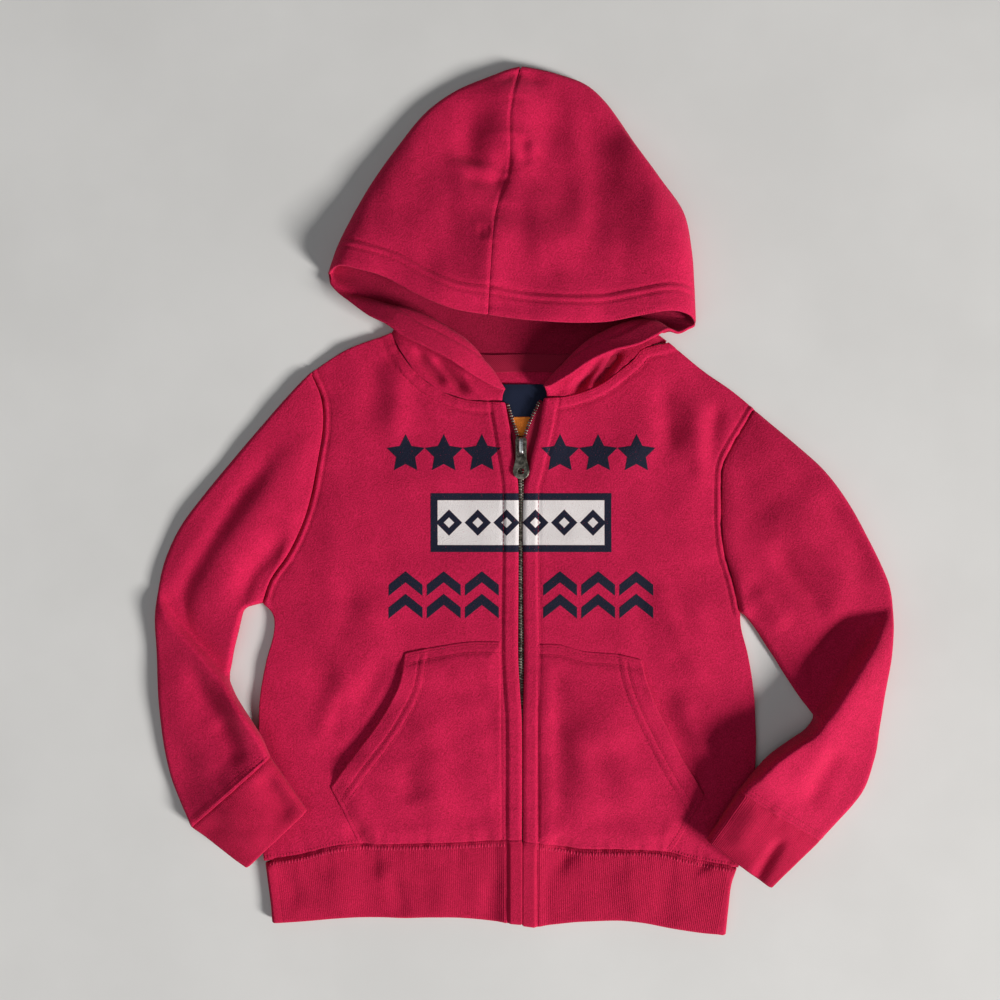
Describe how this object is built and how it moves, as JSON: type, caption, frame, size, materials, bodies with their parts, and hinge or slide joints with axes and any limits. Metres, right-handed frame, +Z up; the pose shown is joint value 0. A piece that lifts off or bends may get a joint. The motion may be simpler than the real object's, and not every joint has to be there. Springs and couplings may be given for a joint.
{
  "type": "kids zip-up hoodie, laid flat",
  "caption": "Child's fleece zip-up hoodie laid flat on its back, sleeves bent in beside the body, hood spread above the neck, front zip closed, kangaroo pockets, rib cuffs and hem.",
  "frame": {"origin": "centre of the bounding box at the surface that the garment lies on", "axes": "+Z up from the surface, +Y from the hem to the hood, +X to the wearer's left"},
  "size_m": [0.5369, 0.634, 0.0331],
  "materials": {
    "fleece": "brushed cotton fleece, red",
    "rib": "fine rib knit, red",
    "zip_tape": "woven tape, red",
    "zip_metal": "dark antique metal",
    "label": "woven label, navy, plain",
    "size_tag": "woven tag, orange, plain"
  },
  "bodies": {
    "hoodie": {"back_panel": "fleece", "front_right": "fleece", "front_left": "fleece", "pocket_right": "fleece", "pocket_left": "fleece", "sleeve_right": "fleece", "sleeve_left": "fleece", "cuff_right": "rib", "cuff_left": "rib", "hem_band": "rib", "hood_right": "fleece", "hood_left": "fleece", "neck_tape": "fleece", "neck_label": "label", "size_tag": "size_tag", "zip_tape_right": "zip_tape", "zip_tape_left": "zip_tape", "zip_teeth_right": "zip_metal", "zip_teeth_left": "zip_metal", "zip_slider": "zip_metal"},
    "pull_tab": {"zip_pull": "zip_metal"}
  },
  "joints": [
    {"name": "pull_swing", "type": "hinge", "parent": "hoodie", "child": "pull_tab", "pos_m": [-0.001, 0.0429, 0.01035], "axis": [-1, 0, 0], "range_deg": [0, 165]}
  ]
}
